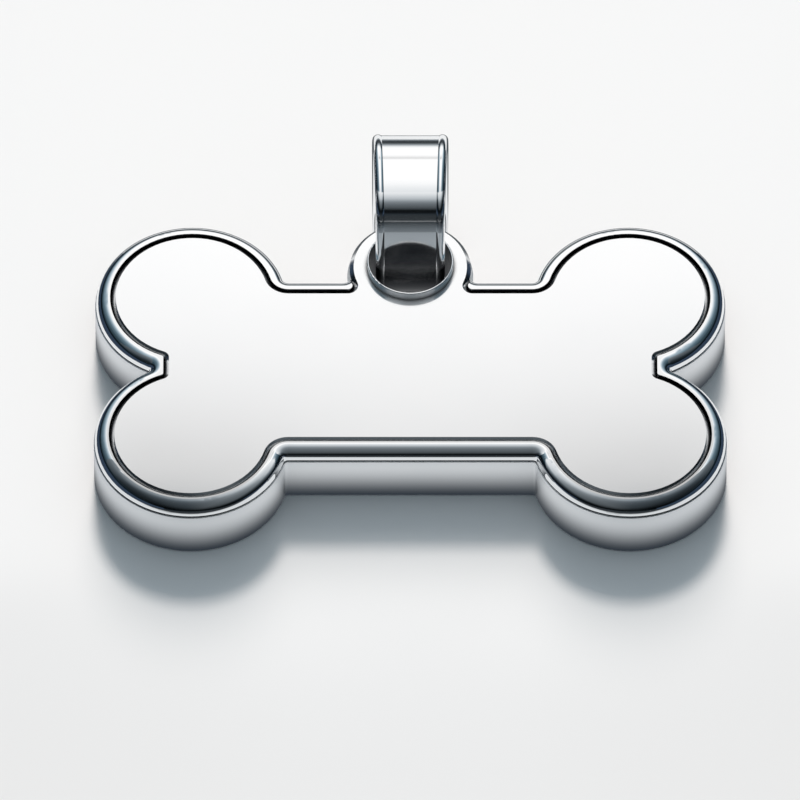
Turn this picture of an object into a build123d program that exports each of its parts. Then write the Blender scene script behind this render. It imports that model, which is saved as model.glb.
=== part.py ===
from build123d import *
import math
import os

# Bone-shaped pet tag lying on its back, face up, with a loop (the bail) swinging in an eyelet
# at the rear. X runs along the bone, +Y points to the eyelet, and the back lies on Z = 0.
# All lengths are in millimetres.

# Outline of the bone and of the lug behind it, seen from above
BONE_LENGTH = 40.0  # over the lobes
LOBE_RADIUS = 6.15
LOBE_OVERLAP = 1.04  # how far the two lobes at one end run into each other
BAR_WIDTH = 14.4
WAIST_FILLET = 0.2  # in the notch between two lobes
BAR_FILLET = 0.25  # where a lobe meets the bar
LUG_OFFSET = 0.9  # lug centre beyond the bar's rear edge
LUG_RADIUS = 4.0
LUG_FILLET = 0.35

# Body: upright wall, seat for rim and face, cored inside
WALL_HEIGHT = 3.41
WALL_TOP_ROUND = 0.08
FOOT_ROUND = 0.2
SEAT_RISE = 0.22  # seat above the wall's top
SEAT_INSET = 0.55  # seat's edge inside the wall's outside
POCKET_INSET = 1.9  # cored pockets inside the wall's outside
BACK_THICKNESS = 1.0
RIB_THICKNESS = 0.9
RIB_COLUMNS = 3  # ribs across the bar
RIB_PITCH = 8.5
LUG_THICKNESS = 1.4
LUG_EDGE_ROUND = 0.15
RELIEF_WALL = 0.9  # solid kept round the recess under the lug

# Rim: quarter-round border, open at the neck
SEAM_GAP = 0.1  # dark seam between wall and rim
RIM_LEDGE = 0.06  # wall's edge showing outside the rim
RIM_BORDER = 0.95  # from the wall's outside to the rim's inner edge
RIM_ROUND = 0.76
RIM_FOOT = 0.04  # least upright strip left under the round
RIM_FIT = 0.02  # round the seat
NOTCH_ROUND = 0.15  # corners of the flat across each waist
NOSE_ROUND = 0.3  # rim's two ends beside the neck

# Face plate, with an ear over the lug, and the film under it
GROOVE_GAP = 0.1  # dark groove between rim and plate
PLATE_THICKNESS = 0.6
PLATE_BEVEL = 0.26
EAR_LEDGE = 0.14  # lug's edge showing outside the ear
FILM_THICKNESS = 0.08
FILM_INSET = 0.25  # film's edge inside the plate's
SEAT_LIP = 0.12  # plate's edge beyond the seat on the lug

# Eyelet in the lug, with its washer
EYELET_BORE_RADIUS = 2.57
EYELET_WALL = 0.14
EYELET_FIT = 0.02  # round the barrel
SHOULDER_WIDTH = 0.04
LIP_RISE = 0.62  # lip above the face
LIP_FLARE = 0.05
LIP_EDGE = 0.13
FLARE_DEPTH = 0.3  # flare starts this far below the face
CLINCH_WIDTH = 0.3
CLINCH_HEIGHT = 0.2
WASHER_WIDTH = 0.5
WASHER_THICKNESS = 0.3
RELIEF_GAP = 0.2  # round the washer

# Bail: a strip between two edge wires, bent into a long loop
WIRE_DIAMETER = 0.7
BAND_THICKNESS = 0.36
BAND_SET_OUT = 0.1  # strip's middle outside the wires' centre line
LOOP_RADIUS = 3.2  # of the wires' centre line, at the top and the bottom
LEG_LENGTH = 4.6  # straight run between the two bends
BAIL_FRONT_WIDTH = 4.4
BAIL_REAR_WIDTH = 4.86
BAIL_LEAD = 0.62  # front leg's outside ahead of the eyelet's axis
BAIL_FLOOR_GAP = 0.22

OVERRUN = 1.0  # how far a cut runs past what it cuts
round_share = 0.3  # most of the bar's straight edge between lobe and lug that one corner's round takes

# Places that follow from the sizes above
lobe_x = BONE_LENGTH / 2 - LOBE_RADIUS
lobe_spacing = 2 * LOBE_RADIUS - LOBE_OVERLAP
lobe_y = lobe_spacing / 2
bar_edge_y = BAR_WIDTH / 2
lug_y = bar_edge_y + LUG_OFFSET
bar_corner_x = lobe_x - math.sqrt(LOBE_RADIUS**2 - (bar_edge_y - lobe_y) ** 2)
lug_corner_x = math.sqrt(LUG_RADIUS**2 - LUG_OFFSET**2)
largest_round = round_share * (bar_corner_x - lug_corner_x)
waist_x = lobe_x + math.sqrt((LOBE_RADIUS + WAIST_FILLET) ** 2 - lobe_y**2) - WAIST_FILLET
ear_radius = LUG_RADIUS - EAR_LEDGE

seat_z = WALL_HEIGHT + SEAT_RISE
plate_bottom_z = seat_z + FILM_THICKNESS
face_z = plate_bottom_z + PLATE_THICKNESS
rim_bottom_z = WALL_HEIGHT + SEAM_GAP
lug_bottom_z = seat_z - LUG_THICKNESS

barrel_radius = EYELET_BORE_RADIUS + EYELET_WALL
eyelet_hole_radius = barrel_radius + EYELET_FIT
washer_radius = eyelet_hole_radius + WASHER_WIDTH
relief_radius = washer_radius + RELIEF_GAP
washer_bottom_z = lug_bottom_z - WASHER_THICKNESS

wire_radius = WIRE_DIAMETER / 2
loop_outer_radius = LOOP_RADIUS + wire_radius
pivot_y = lug_y - BAIL_LEAD + loop_outer_radius
pivot_z = BAIL_FLOOR_GAP + loop_outer_radius
wire_front_x = BAIL_FRONT_WIDTH / 2 - wire_radius
wire_rear_x = BAIL_REAR_WIDTH / 2 - wire_radius
wire_mid_x = (wire_front_x + wire_rear_x) / 2
wire_slope = (wire_rear_x - wire_front_x) / (2 * LOOP_RADIUS)


def at_lug(radius):
    """A disc on the eyelet's axis."""
    return Pos(0, lug_y) * Circle(radius)


def slab(sketch, low_z, high_z):
    """A flat shape drawn out between two heights."""
    return extrude(Pos(0, 0, low_z) * sketch, amount=high_z - low_z, dir=(0, 0, 1))


def lobes(radius):
    """The four lobes' discs, with the seam of each inside the bar."""
    discs = []
    for side, seam in ((-1, 0), (1, 180)):
        for end in (-1, 1):
            discs.append(Pos(side * lobe_x, end * lobe_y) * Rot(0, 0, seam) * Circle(radius))
    return discs


def rounded(area, waist_round, bar_round, lug_round):
    """A bone shape with its inward corners rounded: at the waists, beside the lobes and at the lug."""
    bar_from_x = (lug_corner_x + bar_corner_x) / 2
    waist_from_x = (bar_corner_x + lobe_x) / 2
    rounds = [
        (waist_from_x, BONE_LENGTH, waist_round),
        (bar_from_x, waist_from_x, bar_round),
        (0, bar_from_x, lug_round),
    ]
    for from_x, to_x, radius in rounds:
        corners = [corner for corner in area.vertices() if from_x < abs(corner.X) < to_x]
        if corners:
            area = fillet(corners, radius)
    return area


def bone_outline(with_lug):
    """The outside of the wall."""
    outline = Rectangle(2 * lobe_x, BAR_WIDTH)
    for lobe in lobes(LOBE_RADIUS):
        outline += lobe
    if with_lug:
        outline += Pos(0, lug_y) * Rot(0, 0, -90) * Circle(LUG_RADIUS)
    return rounded(outline, WAIST_FILLET, min(BAR_FILLET, largest_round), min(LUG_FILLET, largest_round))


def inset(outline, amount):
    """The outline drawn in by an even amount: its corners are round, so the pieces still meet."""
    edge_shares = (0, 0.5, 1)  # start, middle and end of each line or arc
    pieces = []
    for edge in outline.edges():
        points = []
        for share in edge_shares:
            along = edge % share
            points.append(edge @ share + Vector(-along.Y, along.X) * amount)
        start, middle, end = points
        straight = edge.geom_type == GeomType.LINE
        pieces.append(Line(start, end) if straight else ThreePointArc(start, middle, end))
    return make_face(Wire(pieces))


def loop_area(radius):
    """The inside of the bail's loop seen from the side, on the pivot."""
    shape = Circle(radius) + Pos(0, LEG_LENGTH) * Circle(radius)
    return shape + Pos(0, LEG_LENGTH / 2) * Rectangle(2 * radius, LEG_LENGTH)


def face_area(gap):
    """The face inside the rim, squared across each waist, with its ear; drawn in by an even gap."""
    border = RIM_BORDER + gap
    area = Rectangle(2 * lobe_x, BAR_WIDTH - 2 * border)
    area += Rectangle(2 * (waist_x - border), lobe_spacing)
    for lobe in lobes(LOBE_RADIUS - border):
        area += lobe
    area += Pos(0, lug_y) * Rot(0, 0, -90) * Circle(ear_radius + GROOVE_GAP - gap)
    return rounded(area, NOTCH_ROUND + gap, BAR_FILLET + border, NOSE_ROUND + gap)


def make_body(bone, outline):
    """Wall, back, seat and lug in one piece, cored under the face."""
    lug = slab(at_lug(LUG_RADIUS), lug_bottom_z, WALL_HEIGHT)
    lug = fillet(lug.edges().group_by(Axis.Z)[0], LUG_EDGE_ROUND)
    wall = slab(bone, 0, WALL_HEIGHT) + slab(outline, lug_bottom_z + LUG_EDGE_ROUND, WALL_HEIGHT)
    wall += lug
    wall = fillet(wall.edges().filter_by_position(Axis.Z, WALL_HEIGHT, WALL_HEIGHT), WALL_TOP_ROUND)
    wall = fillet(wall.edges().filter_by_position(Axis.Z, 0, 0), FOOT_ROUND)
    seat = inset(outline, SEAT_INSET) + at_lug(ear_radius - SEAT_LIP)
    body = wall + slab(seat, WALL_HEIGHT - WALL_TOP_ROUND, seat_z)

    pockets = inset(bone, POCKET_INSET) - at_lug(relief_radius + RELIEF_WALL)
    pockets -= Rectangle(BONE_LENGTH, RIB_THICKNESS)
    for column in range(RIB_COLUMNS):
        place = (column - (RIB_COLUMNS - 1) / 2) * RIB_PITCH
        pockets -= Pos(place, 0) * Rectangle(RIB_THICKNESS, BAR_WIDTH)
    body -= slab(pockets, BACK_THICKNESS, seat_z + OVERRUN)
    body -= slab(at_lug(relief_radius), -OVERRUN, lug_bottom_z)
    return body - slab(at_lug(eyelet_hole_radius), 0, seat_z + OVERRUN)


def make_rim(outline):
    """Quarter-round border, rebated below to sit over the seat, which ends beside the neck."""
    rim = slab(inset(outline, RIM_LEDGE), rim_bottom_z, face_z)
    rim_round = min(RIM_ROUND, face_z - rim_bottom_z - RIM_FOOT)
    rim = fillet(rim.edges().filter_by_position(Axis.Z, face_z, face_z), rim_round)
    rim -= slab(face_area(0), 0, face_z + OVERRUN)
    return rim - slab(inset(outline, SEAT_INSET - RIM_FIT), 0, seat_z)


def make_plate():
    """Face plate with its outer edge bevelled, and its ear pierced for the eyelet's barrel."""
    plate = slab(face_area(GROOVE_GAP), plate_bottom_z, face_z)
    plate = chamfer(plate.edges().filter_by_position(Axis.Z, face_z, face_z), PLATE_BEVEL)
    return plate - slab(at_lug(eyelet_hole_radius), 0, face_z + OVERRUN)


def make_film():
    """Adhesive sheet between the seat and the plate."""
    area = face_area(GROOVE_GAP + FILM_INSET)
    return slab(area - at_lug(eyelet_hole_radius), seat_z, plate_bottom_z)


def make_eyelet():
    """Flared barrel with a raised rolled lip, clinched over the washer below."""
    lip_z = face_z + LIP_RISE - LIP_EDGE / 2
    lip_inner = EYELET_BORE_RADIUS + LIP_FLARE
    lip_outer = lip_inner + LIP_EDGE
    shoulder = barrel_radius + SHOULDER_WIDTH
    clinch = barrel_radius + CLINCH_WIDTH
    clinch_z = washer_bottom_z - CLINCH_HEIGHT
    throat = (EYELET_BORE_RADIUS, face_z - FLARE_DEPTH)
    inner_lip = (lip_inner, lip_z)
    outer_lip = (lip_outer, lip_z)
    profile = [
        Line((EYELET_BORE_RADIUS, clinch_z), throat),
        TangentArc(throat, inner_lip, tangent=(0, 1)),
        ThreePointArc(inner_lip, ((lip_inner + lip_outer) / 2, lip_z + LIP_EDGE / 2), outer_lip),
        Line(outer_lip, (shoulder, face_z)),
        Line((shoulder, face_z), (barrel_radius, face_z)),
        Line((barrel_radius, face_z), (barrel_radius, washer_bottom_z)),
        Line((barrel_radius, washer_bottom_z), (clinch, washer_bottom_z)),
        TangentArc((clinch, washer_bottom_z), (barrel_radius, clinch_z), tangent=(0, -1)),
        Line((barrel_radius, clinch_z), (EYELET_BORE_RADIUS, clinch_z)),
    ]
    section = make_face(Plane.XZ * Wire(profile))
    return Pos(0, lug_y) * revolve(section, axis=Axis.Z)


def make_washer():
    """Ring under the lug."""
    ring = at_lug(washer_radius) - at_lug(eyelet_hole_radius)
    return slab(ring, washer_bottom_z, lug_bottom_z)


def make_wire(side):
    """One edge wire: a closed loop in an upright plane that spreads towards the rear."""
    plane = Plane(
        origin=(side * wire_mid_x, pivot_y, pivot_z),
        x_dir=(side * wire_slope, 1, 0),
        z_dir=(1, -side * wire_slope, 0),
    )
    path = plane * Wire(
        [
            CenterArc((0, 0), LOOP_RADIUS, 180, 180),
            Line((LOOP_RADIUS, 0), (LOOP_RADIUS, LEG_LENGTH)),
            CenterArc((0, LEG_LENGTH), LOOP_RADIUS, 0, 180),
            Line((-LOOP_RADIUS, LEG_LENGTH), (-LOOP_RADIUS, 0)),
        ]
    )
    return sweep(Plane(origin=path @ 0, z_dir=path % 0) * Circle(wire_radius), path=path)


def make_band(wires):
    """The strip between the two wires, shaped to lie against both."""
    band_radius = LOOP_RADIUS + BAND_SET_OUT
    half_band = BAND_THICKNESS / 2
    side_view = Plane(origin=(0, pivot_y, pivot_z), x_dir=(0, 1, 0), z_dir=(1, 0, 0))
    ring = side_view * (loop_area(band_radius + half_band) - loop_area(band_radius - half_band))
    strip = extrude(ring, amount=BAIL_REAR_WIDTH / 2, both=True)
    reach = loop_outer_radius
    front_x = wire_mid_x - wire_slope * reach
    rear_x = wire_mid_x + wire_slope * reach
    between = Polygon(
        (-front_x, pivot_y - reach),
        (front_x, pivot_y - reach),
        (rear_x, pivot_y + reach),
        (-rear_x, pivot_y + reach),
        align=None,
    )
    strip &= slab(between, 0, pivot_z + LEG_LENGTH + reach)
    for wire in wires:
        strip -= wire
    return strip


def main():
    os.makedirs("parts", exist_ok=True)
    bone = bone_outline(with_lug=False)
    outline = bone_outline(with_lug=True)
    left_wire = make_wire(-1)
    right_wire = make_wire(1)
    parts = {
        "tag_body": make_body(bone, outline),
        "rim_bezel": make_rim(outline),
        "face_plate": make_plate(),
        "bonding_film": make_film(),
        "eyelet": make_eyelet(),
        "eyelet_washer": make_washer(),
        "bail_band": make_band([left_wire, right_wire]),
        "bail_edge_wire_left": left_wire,
        "bail_edge_wire_right": right_wire,
    }
    for name, solid in parts.items():
        export_step(solid, f"parts/{name}.step")


main()
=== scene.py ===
import math

import bmesh
import bpy
from bpy.props import FloatProperty, FloatVectorProperty, PointerProperty
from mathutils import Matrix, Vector


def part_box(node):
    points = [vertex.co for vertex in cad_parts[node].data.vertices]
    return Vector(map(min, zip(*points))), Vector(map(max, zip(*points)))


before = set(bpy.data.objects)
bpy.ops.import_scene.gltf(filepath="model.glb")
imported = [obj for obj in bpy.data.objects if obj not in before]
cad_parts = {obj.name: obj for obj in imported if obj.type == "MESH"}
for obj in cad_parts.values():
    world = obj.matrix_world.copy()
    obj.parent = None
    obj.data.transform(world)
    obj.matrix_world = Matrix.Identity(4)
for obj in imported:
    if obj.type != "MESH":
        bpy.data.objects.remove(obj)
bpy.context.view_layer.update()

bl_info = {
    "name": "Bone Pet Tag",
    "version": (1, 0, 0),
    "blender": (4, 5, 0),
    "location": "3D View > Sidebar > Bone Tag",
    "description": "Finishes, stage and camera for a mirror-polished bone tag with a swinging bail",
    "category": "Object",
}

# The solid model's box, before anything is dressed, and the height of the tag's face.
FACE_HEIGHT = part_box("face_plate")[1].z

BAIL_NODES = ("bail_band", "bail_edge_wire_left", "bail_edge_wire_right")

MM = 0.001
IMAGE_PIXELS = 800
SENSOR_WIDTH_MM = 36.0
CLIP_RATIO = 100.0

# Detail of the noise in the metal's tone, the handling haze and the polishing lines, and how the
# lines are drawn out along X.
TONE_DETAIL = 3.0
HAZE_DETAIL = 4.0
LINE_DETAIL = 2.0
LINE_STRETCH = (0.06, 1.0, 1.0)
# Samples that measure how open a spot is, the openness at which the painted shade in seams and
# hollows covers it fully, and the roughness that the painted shade's full mask adds.
OPENNESS_SAMPLES = 8
FULL_PAINTED_SHADE = 0.40
SHADE_MASK_ROUGHNESS = 0.4
# Upward share of the normal at which a surface counts as level, and as upright.
LEVEL_FACING = 1.0
UPRIGHT_FACING = 0.8
# Share of the film's colour in its cloudy patches, its roughness, and what the patches add to it.
FILM_CLOUD = 0.8
FILM_ROUGHNESS = 0.45
FILM_HAZE = 0.2
# Red and green that the tent's darkest greys lose, in its cool parts and in its navy sides.
COOL_LOSS = (0.25, 0.11)
NAVY_LOSS = (0.60, 0.25)
TENT_SEGMENTS = 128
TENT_RINGS = 64


class TagFinish(bpy.types.PropertyGroup):
    """Colours and surface qualities of the tag's pieces."""

    bright_metal: FloatVectorProperty(
        name="Bright metal", description="Chrome where the polish is fresh",
        subtype="COLOR", min=0.0, max=1.0, default=(0.98, 0.98, 0.98))
    cool_metal: FloatVectorProperty(
        name="Cool metal", description="Chrome where the plating is a little thicker",
        subtype="COLOR", min=0.0, max=1.0, default=(0.95, 0.955, 0.96))
    steel_metal: FloatVectorProperty(
        name="Steel", description="Bare stainless steel of the washer and the bore",
        subtype="COLOR", min=0.0, max=1.0, default=(0.60, 0.61, 0.63))
    # Colour of the painted shade that darkens seams, hollows, the eyelet's bore and the bail inside
    # it.
    painted_shade: FloatVectorProperty(
        name="Residue", description="Polishing compound left in the seams",
        subtype="COLOR", min=0.0, max=1.0, default=(0.012, 0.014, 0.018))
    # Colour of the painted shade towards the foot of the side wall.
    foot_shade_colour: FloatVectorProperty(
        name="Foot tone", description="Darkened metal at the foot of the side wall",
        subtype="COLOR", min=0.0, max=1.0, default=(0.040, 0.054, 0.072))
    film: FloatVectorProperty(
        name="Film", description="Bonding film under the face plate",
        subtype="COLOR", min=0.0, max=1.0, default=(0.62, 0.55, 0.40))
    # Reach and onset of the painted shade on each piece.
    seam_shade_reach: FloatProperty(
        name="Residue reach", description="How far out of a seam the residue spreads",
        subtype="DISTANCE", unit="LENGTH", default=0.30 * MM)
    rim_shade_reach: FloatProperty(
        name="Rim reach", description="How far up the rim's sides the residue spreads",
        subtype="DISTANCE", unit="LENGTH", default=0.11 * MM)
    bevel_shade_reach: FloatProperty(
        name="Bevel reach", description="How far up the face plate's bevel the residue spreads",
        subtype="DISTANCE", unit="LENGTH", default=0.45 * MM)
    seam_shade_onset: FloatProperty(
        name="Seam onset", description="Openness of a spot below which residue stays on it",
        subtype="FACTOR", min=0.0, max=1.0, default=0.65)
    bevel_shade_onset: FloatProperty(
        name="Bevel onset", description="Openness below which residue stays on the face plate",
        subtype="FACTOR", min=0.0, max=1.0, default=0.85)
    bore_shade_reach: FloatProperty(
        name="Bore reach", description="How far up the eyelet's bore the residue spreads",
        subtype="DISTANCE", unit="LENGTH", default=5.0 * MM)
    bail_shade_reach: FloatProperty(
        name="Bail reach", description="How far the residue spreads on the bail inside the eyelet",
        subtype="DISTANCE", unit="LENGTH", default=4.0 * MM)
    foot_shade_reach: FloatProperty(
        name="Foot reach", description="Height over which the side wall darkens towards its foot",
        subtype="DISTANCE", unit="LENGTH", default=3.0 * MM)
    tone_patch: FloatProperty(
        name="Tone patch", description="Size of the faint patches in the metal's tone",
        subtype="DISTANCE", unit="LENGTH", default=5.0 * MM)
    haze_patch: FloatProperty(
        name="Haze patch", description="Size of the patches that handling leaves",
        subtype="DISTANCE", unit="LENGTH", default=3.0 * MM)
    line_pitch: FloatProperty(
        name="Line pitch", description="Spacing of the polishing lines",
        subtype="DISTANCE", unit="LENGTH", default=0.25 * MM)
    line_depth: FloatProperty(
        name="Line depth", description="Depth of the polishing lines",
        subtype="DISTANCE", unit="LENGTH", default=0.00015 * MM)
    body_roughness: FloatProperty(
        name="Body roughness", description="Roughness of the body's side wall",
        subtype="FACTOR", min=0.0, max=1.0, default=0.58)
    rim_roughness: FloatProperty(
        name="Rim roughness", description="Roughness of the rounded rim",
        subtype="FACTOR", min=0.0, max=1.0, default=0.05)
    face_roughness: FloatProperty(
        name="Face roughness", description="Roughness of the face plate",
        subtype="FACTOR", min=0.0, max=1.0, default=0.12)
    eyelet_roughness: FloatProperty(
        name="Eyelet roughness", description="Roughness of the eyelet and its washer",
        subtype="FACTOR", min=0.0, max=1.0, default=0.12)
    bail_roughness: FloatProperty(
        name="Bail roughness", description="Roughness of the bail's band and edge wires",
        subtype="FACTOR", min=0.0, max=1.0, default=0.08)
    haze_gain: FloatProperty(
        name="Haze gain", description="How much rougher the handled patches are",
        subtype="FACTOR", min=0.0, max=1.0, default=0.03)


class TagStage(bpy.types.PropertyGroup):
    """Floor, light tent and camera."""

    floor_size: FloatProperty(
        name="Floor size", description="Side of the square floor",
        subtype="DISTANCE", unit="LENGTH", default=6.0)
    floor_colour: FloatVectorProperty(
        name="Floor colour", description="Colour of the glazed floor",
        subtype="COLOR", min=0.0, max=1.0, default=(0.95, 0.95, 0.95))
    floor_ior: FloatProperty(
        name="Floor index",
        description="Index of refraction of the floor's glaze, which sets its gloss",
        min=1.0, default=2.0)
    floor_roughness: FloatProperty(
        name="Floor roughness", description="Roughness of the floor's glaze",
        subtype="FACTOR", min=0.0, max=1.0, default=0.20)
    mirrored_front: FloatProperty(
        name="Mirrored front", description="Front end of the floor that the metal mirrors",
        subtype="DISTANCE", unit="LENGTH", default=-30.0 * MM)
    mirrored_rear: FloatProperty(
        name="Mirrored rear", description="Rear end of the floor that the metal mirrors",
        subtype="DISTANCE", unit="LENGTH", default=45.0 * MM)
    tent_radius: FloatProperty(
        name="Tent radius", description="Radius of the light tent that the metal mirrors",
        subtype="DISTANCE", unit="LENGTH", default=110.0 * MM)
    tent_strength: FloatProperty(
        name="Tent strength", description="Brightness of the tent and the canopy in the metal",
        min=0.0, default=1.05)
    canopy_height: FloatProperty(
        name="Canopy height", description="Height of the light canopy over the tag",
        subtype="DISTANCE", unit="LENGTH", default=19.0 * MM)
    canopy_front: FloatProperty(
        name="Canopy front", description="Front edge of the light canopy, where it has faded out",
        subtype="DISTANCE", unit="LENGTH", default=-55.0 * MM)
    canopy_rear: FloatProperty(
        name="Canopy rear", description="Rear edge of the light canopy",
        subtype="DISTANCE", unit="LENGTH", default=1.0 * MM)
    canopy_reach: FloatProperty(
        name="Canopy reach", description="Half the light canopy's length, left to right",
        subtype="DISTANCE", unit="LENGTH", default=45.0 * MM)
    flag_colour: FloatVectorProperty(
        name="Flag colour", description="Navy cloth of the low flags beside the tag",
        subtype="COLOR", min=0.0, max=1.0, default=(0.030, 0.048, 0.078))
    flag_height: FloatProperty(
        name="Flag height", description="Height of the flags",
        subtype="DISTANCE", unit="LENGTH", default=7.0 * MM)
    flag_side: FloatProperty(
        name="Flag side", description="How far the flags stand from the tag's middle",
        subtype="DISTANCE", unit="LENGTH", default=30.0 * MM)
    flag_length: FloatProperty(
        name="Flag length", description="Length of the flags, front to rear",
        subtype="DISTANCE", unit="LENGTH", default=80.0 * MM)
    lamp_colour: FloatVectorProperty(
        name="Lamp colour", description="Warm white of the two lamps behind the tag",
        subtype="COLOR", min=0.0, max=1.0, default=(1.0, 0.93, 0.88))
    key_strength: FloatProperty(
        name="Key strength", description="Strength of the key lamp, which draws the tag's shadow",
        min=0.0, default=1.89)
    key_elevation: FloatProperty(
        name="Key elevation", description="Height of the key lamp above the horizon",
        subtype="ANGLE", unit="ROTATION", default=math.radians(42.5))
    key_spread: FloatProperty(
        name="Key spread", description="Angle that the key lamp fills, which softens its shadow",
        subtype="ANGLE", unit="ROTATION", default=math.radians(10.0))
    wash_strength: FloatProperty(
        name="Wash strength", description="Strength of the broad lamp, which feathers the shadow",
        min=0.0, default=1.72)
    wash_elevation: FloatProperty(
        name="Wash elevation", description="Height of the broad lamp above the horizon",
        subtype="ANGLE", unit="ROTATION", default=math.radians(31.0))
    wash_spread: FloatProperty(
        name="Wash spread", description="Angle that the broad lamp fills",
        subtype="ANGLE", unit="ROTATION", default=math.radians(24.0))
    fill_colour: FloatVectorProperty(
        name="Fill colour", description="Cool light in the shadows",
        subtype="COLOR", min=0.0, max=1.0, default=(0.77, 0.91, 1.0))
    fill_strength: FloatProperty(
        name="Fill strength", description="Strength of the light in the shadows",
        min=0.0, default=0.375)
    view_elevation: FloatProperty(
        name="View elevation", description="Angle that the camera looks down at",
        subtype="ANGLE", unit="ROTATION", default=math.radians(50.5))
    view_distance: FloatProperty(
        name="View distance", description="Distance from the camera to the tag",
        subtype="DISTANCE", unit="LENGTH", default=1.5)
    pixels_per_mm: FloatProperty(
        name="Pixels per millimetre", description="Scale of the picture at the tag's face",
        min=0.0, default=15.8)
    face_column: FloatProperty(
        name="Face column", description="Pixel column of the face's middle",
        subtype="PIXEL", default=410.3)
    face_row: FloatProperty(
        name="Face row", description="Pixel row of the face's middle",
        subtype="PIXEL", default=365.0)


def add(tree, kind, **settings):
    """Add a node to a tree and set its properties."""
    made = tree.nodes.new(kind)
    for name, value in settings.items():
        setattr(made, name, value)
    return made


def opaque(colour):
    """A colour with full alpha."""
    return (*colour, 1.0)


def new_group(name, inputs, outputs):
    """Start a shader node group with named sockets and give it with its two end nodes."""
    tree = bpy.data.node_groups.new(name, "ShaderNodeTree")
    for label, kind in inputs:
        tree.interface.new_socket(label, in_out="INPUT", socket_type=kind)
    for label, kind in outputs:
        tree.interface.new_socket(label, in_out="OUTPUT", socket_type=kind)
    return tree, add(tree, "NodeGroupInput"), add(tree, "NodeGroupOutput")


def patch_noise(tree, size_socket, detail):
    """Noise in object space whose patches have the size that a socket gives."""
    place = add(tree, "ShaderNodeTexCoord")
    scale = add(tree, "ShaderNodeMath", operation="DIVIDE")
    scale.inputs[0].default_value = 1.0
    noise = add(tree, "ShaderNodeTexNoise")
    noise.inputs["Detail"].default_value = detail
    tree.links.new(size_socket, scale.inputs[1])
    tree.links.new(place.outputs["Object"], noise.inputs["Vector"])
    tree.links.new(scale.outputs[0], noise.inputs["Scale"])
    return noise.outputs["Fac"]


def metal_tone_group():
    """Metal whose tone drifts between two near colours."""
    tree, start, end = new_group(
        "Metal tone",
        [("First", "NodeSocketColor"), ("Second", "NodeSocketColor"), ("Patch", "NodeSocketFloat")],
        [("Colour", "NodeSocketColor")])
    blend = add(tree, "ShaderNodeMix", data_type="RGBA")
    tree.links.new(patch_noise(tree, start.outputs["Patch"], TONE_DETAIL), blend.inputs["Factor"])
    tree.links.new(start.outputs["First"], blend.inputs["A"])
    tree.links.new(start.outputs["Second"], blend.inputs["B"])
    tree.links.new(blend.outputs["Result"], end.inputs["Colour"])
    return tree


def seam_shade_group():
    """Painted shade that darkens the metal wherever two pieces meet in a narrow gap or a hollow
    closes round it.
    """
    tree, start, end = new_group(
        "Seam residue",
        [("Metal", "NodeSocketColor"), ("Residue", "NodeSocketColor"), ("Reach", "NodeSocketFloat"),
         ("Onset", "NodeSocketFloat")],
        [("Colour", "NodeSocketColor"), ("Mask", "NodeSocketFloat")])
    cover = add(tree, "ShaderNodeAmbientOcclusion", samples=OPENNESS_SAMPLES)
    ease = add(tree, "ShaderNodeMapRange", interpolation_type="SMOOTHSTEP")
    ease.inputs["From Max"].default_value = FULL_PAINTED_SHADE
    blend = add(tree, "ShaderNodeMix", data_type="RGBA")
    tree.links.new(start.outputs["Reach"], cover.inputs["Distance"])
    tree.links.new(cover.outputs["AO"], ease.inputs["Value"])
    tree.links.new(start.outputs["Onset"], ease.inputs["From Min"])
    tree.links.new(ease.outputs["Result"], blend.inputs["Factor"])
    tree.links.new(start.outputs["Metal"], blend.inputs["A"])
    tree.links.new(start.outputs["Residue"], blend.inputs["B"])
    tree.links.new(blend.outputs["Result"], end.inputs["Colour"])
    tree.links.new(ease.outputs["Result"], end.inputs["Mask"])
    return tree


def handling_haze_group():
    """Roughness that rises in soft patches where fingers have been, and in the seams."""
    tree, start, end = new_group(
        "Handling haze",
        [("Clean", "NodeSocketFloat"), ("Gain", "NodeSocketFloat"), ("Patch", "NodeSocketFloat"),
         ("Seam", "NodeSocketFloat")],
        [("Roughness", "NodeSocketFloat")])
    haze = add(tree, "ShaderNodeMath", operation="MULTIPLY_ADD")
    dull = add(tree, "ShaderNodeMath", operation="MULTIPLY_ADD")
    dull.inputs[1].default_value = SHADE_MASK_ROUGHNESS
    tree.links.new(patch_noise(tree, start.outputs["Patch"], HAZE_DETAIL), haze.inputs[0])
    tree.links.new(start.outputs["Gain"], haze.inputs[1])
    tree.links.new(start.outputs["Clean"], haze.inputs[2])
    tree.links.new(start.outputs["Seam"], dull.inputs[0])
    tree.links.new(haze.outputs[0], dull.inputs[2])
    tree.links.new(dull.outputs[0], end.inputs["Roughness"])
    return tree


def polishing_lines_group():
    """Height of the fine lines that a buffing wheel leaves, drawn out along X."""
    tree, start, end = new_group(
        "Polishing lines",
        [("Pitch", "NodeSocketFloat")],
        [("Height", "NodeSocketFloat")])
    place = add(tree, "ShaderNodeTexCoord")
    draw_out = add(tree, "ShaderNodeMapping")
    draw_out.inputs["Scale"].default_value = LINE_STRETCH
    scale = add(tree, "ShaderNodeMath", operation="DIVIDE")
    scale.inputs[0].default_value = 1.0
    noise = add(tree, "ShaderNodeTexNoise")
    noise.inputs["Detail"].default_value = LINE_DETAIL
    tree.links.new(place.outputs["Object"], draw_out.inputs["Vector"])
    tree.links.new(draw_out.outputs["Vector"], noise.inputs["Vector"])
    tree.links.new(start.outputs["Pitch"], scale.inputs[1])
    tree.links.new(scale.outputs[0], noise.inputs["Scale"])
    tree.links.new(noise.outputs["Fac"], end.inputs["Height"])
    return tree


GROUP_MAKERS = {
    "Metal tone": metal_tone_group,
    "Seam residue": seam_shade_group,
    "Handling haze": handling_haze_group,
    "Polishing lines": polishing_lines_group,
}


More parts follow.
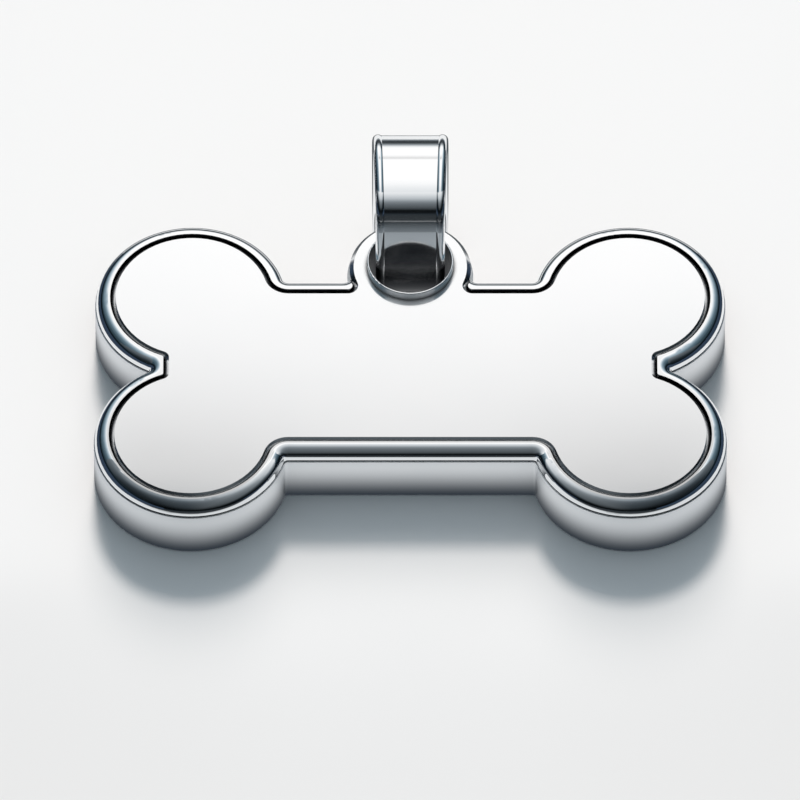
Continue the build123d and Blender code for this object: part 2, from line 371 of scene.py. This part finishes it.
def place_group(tree, name, **values):
    """Place a shared node group in a material, building it the first time."""
    shared = bpy.data.node_groups.get(name) or GROUP_MAKERS[name]()
    made = add(tree, "ShaderNodeGroup", node_tree=shared)
    for label, value in values.items():
        made.inputs[label].default_value = value
    return made


def paint_foot_shade(tree, colour, finish):
    """Painted shade: darken upright metal towards its foot, where it mirrors the dark floor at the
    contact.
    """
    place = add(tree, "ShaderNodeTexCoord")
    height = add(tree, "ShaderNodeSeparateXYZ")
    facing = add(tree, "ShaderNodeSeparateXYZ")
    low = add(tree, "ShaderNodeMapRange", interpolation_type="SMOOTHSTEP")
    low.inputs["From Min"].default_value = finish.foot_shade_reach
    low.inputs["From Max"].default_value = 0.0
    level = add(tree, "ShaderNodeMath", operation="ABSOLUTE")
    upright = add(tree, "ShaderNodeMapRange")
    upright.inputs["From Min"].default_value = LEVEL_FACING
    upright.inputs["From Max"].default_value = UPRIGHT_FACING
    shade = add(tree, "ShaderNodeMath", operation="MULTIPLY")
    blend = add(tree, "ShaderNodeMix", data_type="RGBA")
    blend.inputs["B"].default_value = opaque(finish.foot_shade_colour)
    tree.links.new(place.outputs["Object"], height.inputs["Vector"])
    tree.links.new(height.outputs["Z"], low.inputs["Value"])
    tree.links.new(place.outputs["Normal"], facing.inputs["Vector"])
    tree.links.new(facing.outputs["Z"], level.inputs[0])
    tree.links.new(level.outputs[0], upright.inputs["Value"])
    tree.links.new(low.outputs["Result"], shade.inputs[0])
    tree.links.new(upright.outputs["Result"], shade.inputs[1])
    tree.links.new(shade.outputs[0], blend.inputs["Factor"])
    tree.links.new(colour, blend.inputs["A"])
    return blend.outputs["Result"]


def polished_metal(name, finish, first, second, roughness, reach, onset=None, painted_foot_shade=False):
    """A polished metal with drifting tone, painted shade in seams and hollows, handling haze and
    polishing lines.
    """
    material = bpy.data.materials.new(name)
    material.use_nodes = True
    tree = material.node_tree
    surface = tree.nodes["Principled BSDF"]
    surface.inputs["Metallic"].default_value = 1.0
    tone = place_group(
        tree, "Metal tone", First=opaque(first), Second=opaque(second), Patch=finish.tone_patch)
    seam = place_group(
        tree, "Seam residue", Residue=opaque(finish.painted_shade), Reach=reach,
        Onset=finish.seam_shade_onset if onset is None else onset)
    haze = place_group(
        tree, "Handling haze", Clean=roughness, Gain=finish.haze_gain, Patch=finish.haze_patch)
    lines = place_group(tree, "Polishing lines", Pitch=finish.line_pitch)
    bump = add(tree, "ShaderNodeBump")
    bump.inputs["Distance"].default_value = finish.line_depth
    tree.links.new(tone.outputs["Colour"], seam.inputs["Metal"])
    colour = seam.outputs["Colour"]
    # Painted shade towards the foot of upright walls.
    if painted_foot_shade:
        colour = paint_foot_shade(tree, colour, finish)
    tree.links.new(colour, surface.inputs["Base Color"])
    tree.links.new(seam.outputs["Mask"], haze.inputs["Seam"])
    tree.links.new(haze.outputs["Roughness"], surface.inputs["Roughness"])
    tree.links.new(lines.outputs["Height"], bump.inputs["Height"])
    tree.links.new(bump.outputs["Normal"], surface.inputs["Normal"])
    return material


def bonding_film(finish):
    """A pale, slightly cloudy adhesive film."""
    material = bpy.data.materials.new("Bonding film")
    material.use_nodes = True
    tree = material.node_tree
    surface = tree.nodes["Principled BSDF"]
    cloudy = [FILM_CLOUD * share for share in finish.film]
    tone = place_group(
        tree, "Metal tone", First=opaque(finish.film), Second=opaque(cloudy),
        Patch=finish.haze_patch)
    haze = place_group(
        tree, "Handling haze", Clean=FILM_ROUGHNESS, Gain=FILM_HAZE, Patch=finish.haze_patch)
    tree.links.new(tone.outputs["Colour"], surface.inputs["Base Color"])
    tree.links.new(haze.outputs["Roughness"], surface.inputs["Roughness"])
    return material


def dress(node, material):
    """Give a piece's material slots a finish."""
    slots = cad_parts[node].material_slots
    if not slots:
        raise RuntimeError(f"{node} has no material slot")
    for slot in slots:
        slot.material = material


class BONETAG_OT_body(bpy.types.Operator):
    """Polish the cast body of the tag"""

    bl_idname = "bonetag.body"
    bl_label = "Body"

    def execute(self, context):
        finish = context.scene.tag_finish
        # Painted shade in the seams, and painted shade that darkens the side wall towards its foot.
        dress("tag_body", polished_metal(
            "Body chrome", finish, finish.bright_metal, finish.cool_metal,
            finish.body_roughness, finish.seam_shade_reach, painted_foot_shade=True))
        return {"FINISHED"}


class BONETAG_OT_rim(bpy.types.Operator):
    """Polish the rounded rim that frames the face"""

    bl_idname = "bonetag.rim"
    bl_label = "Rim"

    def execute(self, context):
        finish = context.scene.tag_finish
        # Painted shade darkens the rim where it meets the body and the face plate.
        dress("rim_bezel", polished_metal(
            "Rim chrome", finish, finish.bright_metal, finish.cool_metal,
            finish.rim_roughness, finish.rim_shade_reach))
        return {"FINISHED"}


class BONETAG_OT_face(bpy.types.Operator):
    """Polish the blank face plate and coat the film that bonds it"""

    bl_idname = "bonetag.face"
    bl_label = "Face plate and film"

    def execute(self, context):
        finish = context.scene.tag_finish
        # Painted shade darkens the face plate's bevel under the rim.
        dress("face_plate", polished_metal(
            "Face mirror", finish, finish.bright_metal, finish.cool_metal,
            finish.face_roughness, finish.bevel_shade_reach, onset=finish.bevel_shade_onset))
        dress("bonding_film", bonding_film(finish))
        return {"FINISHED"}


class BONETAG_OT_eyelet(bpy.types.Operator):
    """Finish the eyelet and the washer that it is clinched over"""

    bl_idname = "bonetag.eyelet"
    bl_label = "Eyelet and washer"

    def execute(self, context):
        finish = context.scene.tag_finish
        # Painted shade darkens the bore, reaching far up from the hole.
        dress("eyelet", polished_metal(
            "Eyelet steel", finish, finish.bright_metal, finish.cool_metal,
            finish.eyelet_roughness, finish.bore_shade_reach))
        dress("eyelet_washer", polished_metal(
            "Washer steel", finish, finish.steel_metal, finish.cool_metal,
            finish.eyelet_roughness, finish.seam_shade_reach))
        return {"FINISHED"}


class BONETAG_OT_bail(bpy.types.Operator):
    """Polish the bail's band and its two edge wires"""

    bl_idname = "bonetag.bail"
    bl_label = "Bail"

    def execute(self, context):
        finish = context.scene.tag_finish
        # Painted shade darkens the bail's band and wires where they run down inside the eyelet.
        dress("bail_band", polished_metal(
            "Bail chrome", finish, finish.bright_metal, finish.cool_metal,
            finish.bail_roughness, finish.bail_shade_reach))
        wire = polished_metal(
            "Wire chrome", finish, finish.bright_metal, finish.cool_metal,
            finish.bail_roughness, finish.bail_shade_reach)
        for side in ("left", "right"):
            dress(f"bail_edge_wire_{side}", wire)
        for node in BAIL_NODES:
            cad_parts[node].visible_glossy = False
        return {"FINISHED"}


def neutral(level):
    """A plain grey."""
    return (level, level, level, 1.0)


def blued(level, losses):
    """A grey that loses more of its red and green the darker it is."""
    dark = 1.0 - level
    red_loss, green_loss = losses
    return (level * (1.0 - red_loss * dark), level * (1.0 - green_loss * dark), level, 1.0)


def cooled(level):
    """A grey of the tent, bluer the darker it is."""
    return blued(level, COOL_LOSS)


def navy(level):
    """A grey of the tent's sides, which darkens into navy."""
    return blued(level, NAVY_LOSS)


def ramp(tree, source, stops, tint):
    """A colour ramp through tinted greys, given as places and levels."""
    made = add(tree, "ShaderNodeValToRGB")
    elements = made.color_ramp.elements
    for place, _ in stops[1:-1]:
        elements.new(place)
    for element, (place, level) in zip(elements, stops):
        element.position = place
        element.color = tint(level)
    tree.links.new(source, made.inputs["Fac"])
    return made.outputs["Color"]


def rise(tree, source, reach):
    """A value that rises from 0 to 1 between two places."""
    made = add(tree, "ShaderNodeMapRange")
    made.inputs["From Min"].default_value, made.inputs["From Max"].default_value = reach
    tree.links.new(source, made.inputs["Value"])
    return made.outputs["Result"]


def multiplied(tree, colours):
    """The product of several colours."""
    light = colours[0]
    for colour in colours[1:]:
        dim = add(tree, "ShaderNodeMix", data_type="RGBA", blend_type="MULTIPLY")
        dim.inputs["Factor"].default_value = 1.0
        tree.links.new(light, dim.inputs["A"])
        tree.links.new(colour, dim.inputs["B"])
        light = dim.outputs["Result"]
    return light


def glow_material(name):
    """An empty material with an emission shader, for a light that only mirrors show."""
    material = bpy.data.materials.new(name)
    material.use_nodes = True
    material.cycles.emission_sampling = "NONE"
    tree = material.node_tree
    tree.nodes.clear()
    end = add(tree, "ShaderNodeOutputMaterial")
    glow = add(tree, "ShaderNodeEmission")
    tree.links.new(glow.outputs["Emission"], end.inputs["Surface"])
    return material, tree, glow


def stage_object(name, shape, material):
    """A stage object from a bmesh."""
    mesh = bpy.data.meshes.new(name)
    for face in shape.faces:
        face.smooth = True
    shape.to_mesh(mesh)
    shape.free()
    made = bpy.data.objects.new(name, mesh)
    made.data.materials.append(material)
    bpy.context.scene.collection.objects.link(made)
    return made


def mirror_only(made):
    """Let a light show in mirrors alone."""
    made.visible_camera = False
    made.visible_diffuse = False
    made.visible_shadow = False


# Levels of the tent from its front (0) to its rear (1), from the floor (0) to overhead (1), and
# from its middle (0) out to its sides (1).
FRONT_TO_REAR = (
    (0.00, 0.09), (0.035, 0.07), (0.095, 0.10), (0.14, 0.40), (0.19, 0.76), (0.26, 0.84),
    (0.34, 0.95), (0.42, 1.00),
)
FLOOR_TO_TOP = (
    (0.00, 0.40), (0.06, 0.35), (0.10, 0.12), (0.15, 0.05), (0.28, 0.05), (0.38, 0.35),
    (0.46, 0.85), (0.52, 1.00),
)
MIDDLE_TO_SIDE = (
    (0.26, 1.00), (0.33, 0.78), (0.40, 0.52), (0.50, 0.34), (0.615, 0.20), (0.81, 0.08),
    (1.00, 0.04),
)
# Light that a cloth hung behind the tag lets through, from the tent's front to its rear: in the
# tent's middle, and beside it as far as the cloth's edge.
CLOTH_MIDDLE = (
    (0.752, 1.00), (0.770, 0.70), (0.79, 0.76), (0.7985, 0.85), (0.8092, 0.91), (0.82, 0.95),
    (0.835, 1.00),
)
CLOTH_MIDDLE_REACH = (0.055, 0.085)
CLOTH_EDGE_REACH = (0.19, 0.24)
CLOTH = (
    (0.735, 1.00), (0.752, 0.70), (0.768, 0.46), (0.7787, 0.55), (0.785, 0.68), (0.79, 0.76),
    (0.7985, 0.85), (0.8092, 0.91), (0.82, 0.95), (0.835, 1.00),
)
# Levels of the canopy from its front edge (0) to its rear edge (1), and out to its sides.
CANOPY = (
    (0.00, 0.025), (0.268, 0.045), (0.429, 0.08), (0.629, 0.12), (0.727, 0.16), (0.805, 0.23),
    (0.829, 0.29), (0.861, 0.38), (0.889, 0.50), (0.939, 0.64), (1.00, 0.84),
)
CANOPY_SIDE = ((0.16, 1.00), (0.33, 0.48), (0.60, 0.18), (1.00, 0.08))
# Brightness in the metal of the floor, from the far front (0) to far behind the tag (1). A dark
# strip behind the tag outlines its ear and its bail.
FLOOR_IN_MIRRORS = (
    (0.107, 0.04), (0.173, 0.72), (0.243, 0.76), (0.533, 0.90), (0.587, 0.90), (0.627, 0.10),
    (0.747, 0.10), (0.827, 0.90),
)


def make_tent(stage):
    """The light tent: bright behind and overhead, dark in front, at the sides and low down."""
    material, tree, glow = glow_material("Tent")
    place = add(tree, "ShaderNodeNewGeometry")
    direction = add(tree, "ShaderNodeVectorMath", operation="NORMALIZE")
    split = add(tree, "ShaderNodeSeparateXYZ")
    rearward = add(tree, "ShaderNodeMapRange")
    rearward.inputs["From Min"].default_value = -1.0
    sideways = add(tree, "ShaderNodeMath", operation="ABSOLUTE")
    tree.links.new(place.outputs["Position"], direction.inputs[0])
    tree.links.new(direction.outputs["Vector"], split.inputs["Vector"])
    tree.links.new(split.outputs["Y"], rearward.inputs["Value"])
    tree.links.new(split.outputs["X"], sideways.inputs[0])
    cloth = add(tree, "ShaderNodeMix", data_type="RGBA")
    tree.links.new(rise(tree, sideways.outputs[0], CLOTH_MIDDLE_REACH), cloth.inputs["Factor"])
    tree.links.new(ramp(tree, rearward.outputs["Result"], CLOTH_MIDDLE, neutral), cloth.inputs["A"])
    tree.links.new(ramp(tree, rearward.outputs["Result"], CLOTH, neutral), cloth.inputs["B"])
    hung = add(tree, "ShaderNodeMix", data_type="RGBA")
    hung.inputs["B"].default_value = neutral(1.0)
    tree.links.new(rise(tree, sideways.outputs[0], CLOTH_EDGE_REACH), hung.inputs["Factor"])
    tree.links.new(cloth.outputs["Result"], hung.inputs["A"])
    light = multiplied(tree, [
        ramp(tree, rearward.outputs["Result"], FRONT_TO_REAR, cooled),
        ramp(tree, split.outputs["Z"], FLOOR_TO_TOP, cooled),
        ramp(tree, sideways.outputs[0], MIDDLE_TO_SIDE, navy),
        hung.outputs["Result"],
    ])
    tree.links.new(light, glow.inputs["Color"])
    glow.inputs["Strength"].default_value = stage.tent_strength
    shape = bmesh.new()
    bmesh.ops.create_uvsphere(
        shape, u_segments=TENT_SEGMENTS, v_segments=TENT_RINGS, radius=stage.tent_radius)
    mirror_only(stage_object("Tent", shape, material))


def make_canopy(stage):
    """A light canopy over the tag that fades out towards the front and the sides."""
    material, tree, glow = glow_material("Canopy")
    place = add(tree, "ShaderNodeNewGeometry")
    split = add(tree, "ShaderNodeSeparateXYZ")
    rearward = add(tree, "ShaderNodeMapRange")
    rearward.inputs["From Min"].default_value = stage.canopy_front
    rearward.inputs["From Max"].default_value = stage.canopy_rear
    sideways = add(tree, "ShaderNodeMath", operation="ABSOLUTE")
    outward = add(tree, "ShaderNodeMapRange")
    outward.inputs["From Max"].default_value = stage.canopy_reach
    tree.links.new(place.outputs["Position"], split.inputs["Vector"])
    tree.links.new(split.outputs["Y"], rearward.inputs["Value"])
    tree.links.new(split.outputs["X"], sideways.inputs[0])
    tree.links.new(sideways.outputs[0], outward.inputs["Value"])
    light = multiplied(tree, [
        ramp(tree, rearward.outputs["Result"], CANOPY, cooled),
        ramp(tree, outward.outputs["Result"], CANOPY_SIDE, cooled),
    ])
    tree.links.new(light, glow.inputs["Color"])
    glow.inputs["Strength"].default_value = stage.tent_strength
    shape = bmesh.new()
    corners = [
        (-stage.canopy_reach, stage.canopy_front), (stage.canopy_reach, stage.canopy_front),
        (stage.canopy_reach, stage.canopy_rear), (-stage.canopy_reach, stage.canopy_rear),
    ]
    shape.faces.new([shape.verts.new((x, y, stage.canopy_height)) for x, y in corners])
    mirror_only(stage_object("Canopy", shape, material))


def make_flags(stage):
    """Low navy flags beside the tag, which darken the lower half of its rim."""
    material, _, glow = glow_material("Flags")
    glow.inputs["Color"].default_value = opaque(stage.flag_colour)
    end = stage.flag_length / 2
    corners = [(-end, 0.0), (end, 0.0), (end, stage.flag_height), (-end, stage.flag_height)]
    shape = bmesh.new()
    for x in (-stage.flag_side, stage.flag_side):
        shape.faces.new([shape.verts.new((x, y, z)) for y, z in corners])
    mirror_only(stage_object("Flags", shape, material))


def make_floor(stage):
    """A white glazed floor, which mirrors show without the tag's shadow."""
    material = bpy.data.materials.new("Glazed floor")
    material.use_nodes = True
    material.cycles.emission_sampling = "NONE"
    tree = material.node_tree
    tree.nodes.clear()
    end = add(tree, "ShaderNodeOutputMaterial")
    mix = add(tree, "ShaderNodeMixShader")
    gloss = add(tree, "ShaderNodeFresnel")
    gloss.inputs["IOR"].default_value = stage.floor_ior
    tree.links.new(gloss.outputs["Fac"], mix.inputs["Fac"])
    matt = add(tree, "ShaderNodeBsdfDiffuse")
    matt.inputs["Color"].default_value = opaque(stage.floor_colour)
    glaze = add(tree, "ShaderNodeBsdfGlossy")
    glaze.inputs["Color"].default_value = opaque(stage.floor_colour)
    glaze.inputs["Roughness"].default_value = stage.floor_roughness
    mirrored = add(tree, "ShaderNodeEmission")
    place = add(tree, "ShaderNodeNewGeometry")
    split = add(tree, "ShaderNodeSeparateXYZ")
    tree.links.new(place.outputs["Position"], split.inputs["Vector"])
    rearward = rise(tree, split.outputs["Y"], (stage.mirrored_front, stage.mirrored_rear))
    tree.links.new(ramp(tree, rearward, FLOOR_IN_MIRRORS, cooled), mirrored.inputs["Color"])
    rays = add(tree, "ShaderNodeLightPath")
    shown = add(tree, "ShaderNodeMixShader")
    tree.links.new(matt.outputs["BSDF"], mix.inputs[1])
    tree.links.new(glaze.outputs["BSDF"], mix.inputs[2])
    tree.links.new(rays.outputs["Is Glossy Ray"], shown.inputs["Fac"])
    tree.links.new(mix.outputs["Shader"], shown.inputs[1])
    tree.links.new(mirrored.outputs["Emission"], shown.inputs[2])
    tree.links.new(shown.outputs["Shader"], end.inputs["Surface"])
    shape = bmesh.new()
    bmesh.ops.create_grid(shape, x_segments=1, y_segments=1, size=stage.floor_size / 2)
    stage_object("Floor", shape, material)


def make_lamp(name, colour, strength, elevation, spread):
    """A soft lamp behind the tag; the metal mirrors the tent instead of it."""
    light = bpy.data.lights.new(name, "SUN")
    light.color = colour
    light.energy = strength
    light.angle = spread
    lamp = bpy.data.objects.new(name, light)
    lamp.visible_glossy = False
    toward = Vector((0.0, -math.cos(elevation), -math.sin(elevation)))
    lamp.rotation_euler = toward.to_track_quat("-Z", "Y").to_euler()
    bpy.context.scene.collection.objects.link(lamp)


def make_world(stage):
    """White to the eye, like the tent's wall in mirrors, and a weak cool fill for the shadows."""
    world = bpy.data.worlds.new("Studio")
    world.use_nodes = True
    tree = world.node_tree
    fill = tree.nodes["Background"]
    fill.inputs["Color"].default_value = opaque(stage.fill_colour)
    fill.inputs["Strength"].default_value = stage.fill_strength
    studio = add(tree, "ShaderNodeBackground")
    rays = add(tree, "ShaderNodeLightPath")
    place = add(tree, "ShaderNodeTexCoord")
    split = add(tree, "ShaderNodeSeparateXYZ")
    backdrop = add(tree, "ShaderNodeMix", data_type="RGBA")
    backdrop.inputs["A"].default_value = neutral(1.0)
    tree.links.new(place.outputs["Generated"], split.inputs["Vector"])
    tree.links.new(ramp(tree, split.outputs["Z"], FLOOR_TO_TOP, cooled), backdrop.inputs["B"])
    tree.links.new(rays.outputs["Is Glossy Ray"], backdrop.inputs["Factor"])
    tree.links.new(backdrop.outputs["Result"], studio.inputs["Color"])
    seen = add(tree, "ShaderNodeMath", operation="MAXIMUM")
    shown = add(tree, "ShaderNodeMath", operation="MAXIMUM")
    mix = add(tree, "ShaderNodeMixShader")
    tree.links.new(rays.outputs["Is Camera Ray"], seen.inputs[0])
    tree.links.new(rays.outputs["Is Glossy Ray"], seen.inputs[1])
    tree.links.new(seen.outputs[0], shown.inputs[0])
    tree.links.new(rays.outputs["Is Transmission Ray"], shown.inputs[1])
    tree.links.new(shown.outputs[0], mix.inputs["Fac"])
    tree.links.new(fill.outputs["Background"], mix.inputs[1])
    tree.links.new(studio.outputs["Background"], mix.inputs[2])
    tree.links.new(mix.outputs["Shader"], tree.nodes["World Output"].inputs["Surface"])
    bpy.context.scene.world = world


def make_camera(stage):
    """The camera, set so that the face's middle lands on its pixel at the picture's scale."""
    pixels_per_metre = stage.pixels_per_mm / MM
    elevation = stage.view_elevation
    up = Vector((0.0, math.sin(elevation), math.cos(elevation)))
    back = Vector((0.0, -math.cos(elevation), math.sin(elevation)))
    middle = IMAGE_PIXELS / 2
    right_shift = (middle - stage.face_column) / pixels_per_metre
    down_shift = (middle - stage.face_row) / pixels_per_metre
    aim = Vector((right_shift, 0.0, FACE_HEIGHT)) - up * down_shift
    lens = bpy.data.cameras.new("Camera")
    lens.sensor_width = SENSOR_WIDTH_MM
    lens.lens = SENSOR_WIDTH_MM * stage.view_distance * pixels_per_metre / IMAGE_PIXELS
    lens.clip_start = stage.view_distance / CLIP_RATIO
    lens.clip_end = stage.view_distance * CLIP_RATIO
    camera = bpy.data.objects.new("Camera", lens)
    camera.location = aim + back * stage.view_distance
    camera.rotation_euler = (-back).to_track_quat("-Z", "Y").to_euler()
    bpy.context.scene.collection.objects.link(camera)
    bpy.context.scene.camera = camera


class BONETAG_OT_stage(bpy.types.Operator):
    """Set up the floor, the lights and the camera"""

    bl_idname = "bonetag.stage"
    bl_label = "Stage"

    def execute(self, context):
        stage = context.scene.tag_stage
        make_floor(stage)
        make_tent(stage)
        make_canopy(stage)
        make_flags(stage)
        make_lamp(
            "Key", stage.lamp_colour, stage.key_strength, stage.key_elevation, stage.key_spread)
        make_lamp(
            "Wash", stage.lamp_colour, stage.wash_strength, stage.wash_elevation,
            stage.wash_spread)
        make_world(stage)
        make_camera(stage)
        context.scene.view_settings.view_transform = "Standard"
        return {"FINISHED"}


OPERATORS = (
    BONETAG_OT_body, BONETAG_OT_rim, BONETAG_OT_face, BONETAG_OT_eyelet, BONETAG_OT_bail,
    BONETAG_OT_stage,
)


class BONETAG_PT_panel(bpy.types.Panel):
    """The tag's finishes and stage, in the sidebar"""

    bl_idname = "BONETAG_PT_panel"
    bl_label = "Bone Tag"
    bl_space_type = "VIEW_3D"
    bl_region_type = "UI"
    bl_category = "Bone Tag"

    def draw(self, context):
        layout = self.layout
        for operator in OPERATORS:
            layout.operator(operator.bl_idname)
        for settings in (context.scene.tag_finish, context.scene.tag_stage):
            box = layout.box()
            for name in settings.bl_rna.properties.keys():
                if name not in ("rna_type", "name"):
                    box.prop(settings, name)


CLASSES = (TagFinish, TagStage, *OPERATORS, BONETAG_PT_panel)


def register():
    for cls in CLASSES:
        bpy.utils.register_class(cls)
    bpy.types.Scene.tag_finish = PointerProperty(type=TagFinish)
    bpy.types.Scene.tag_stage = PointerProperty(type=TagStage)


def unregister():
    del bpy.types.Scene.tag_stage
    del bpy.types.Scene.tag_finish
    for cls in reversed(CLASSES):
        bpy.utils.unregister_class(cls)


def main():
    register()
    bpy.ops.bonetag.body()
    bpy.ops.bonetag.rim()
    bpy.ops.bonetag.face()
    bpy.ops.bonetag.eyelet()
    bpy.ops.bonetag.bail()
    bpy.ops.bonetag.stage()


if __name__ == "__main__":
    main()
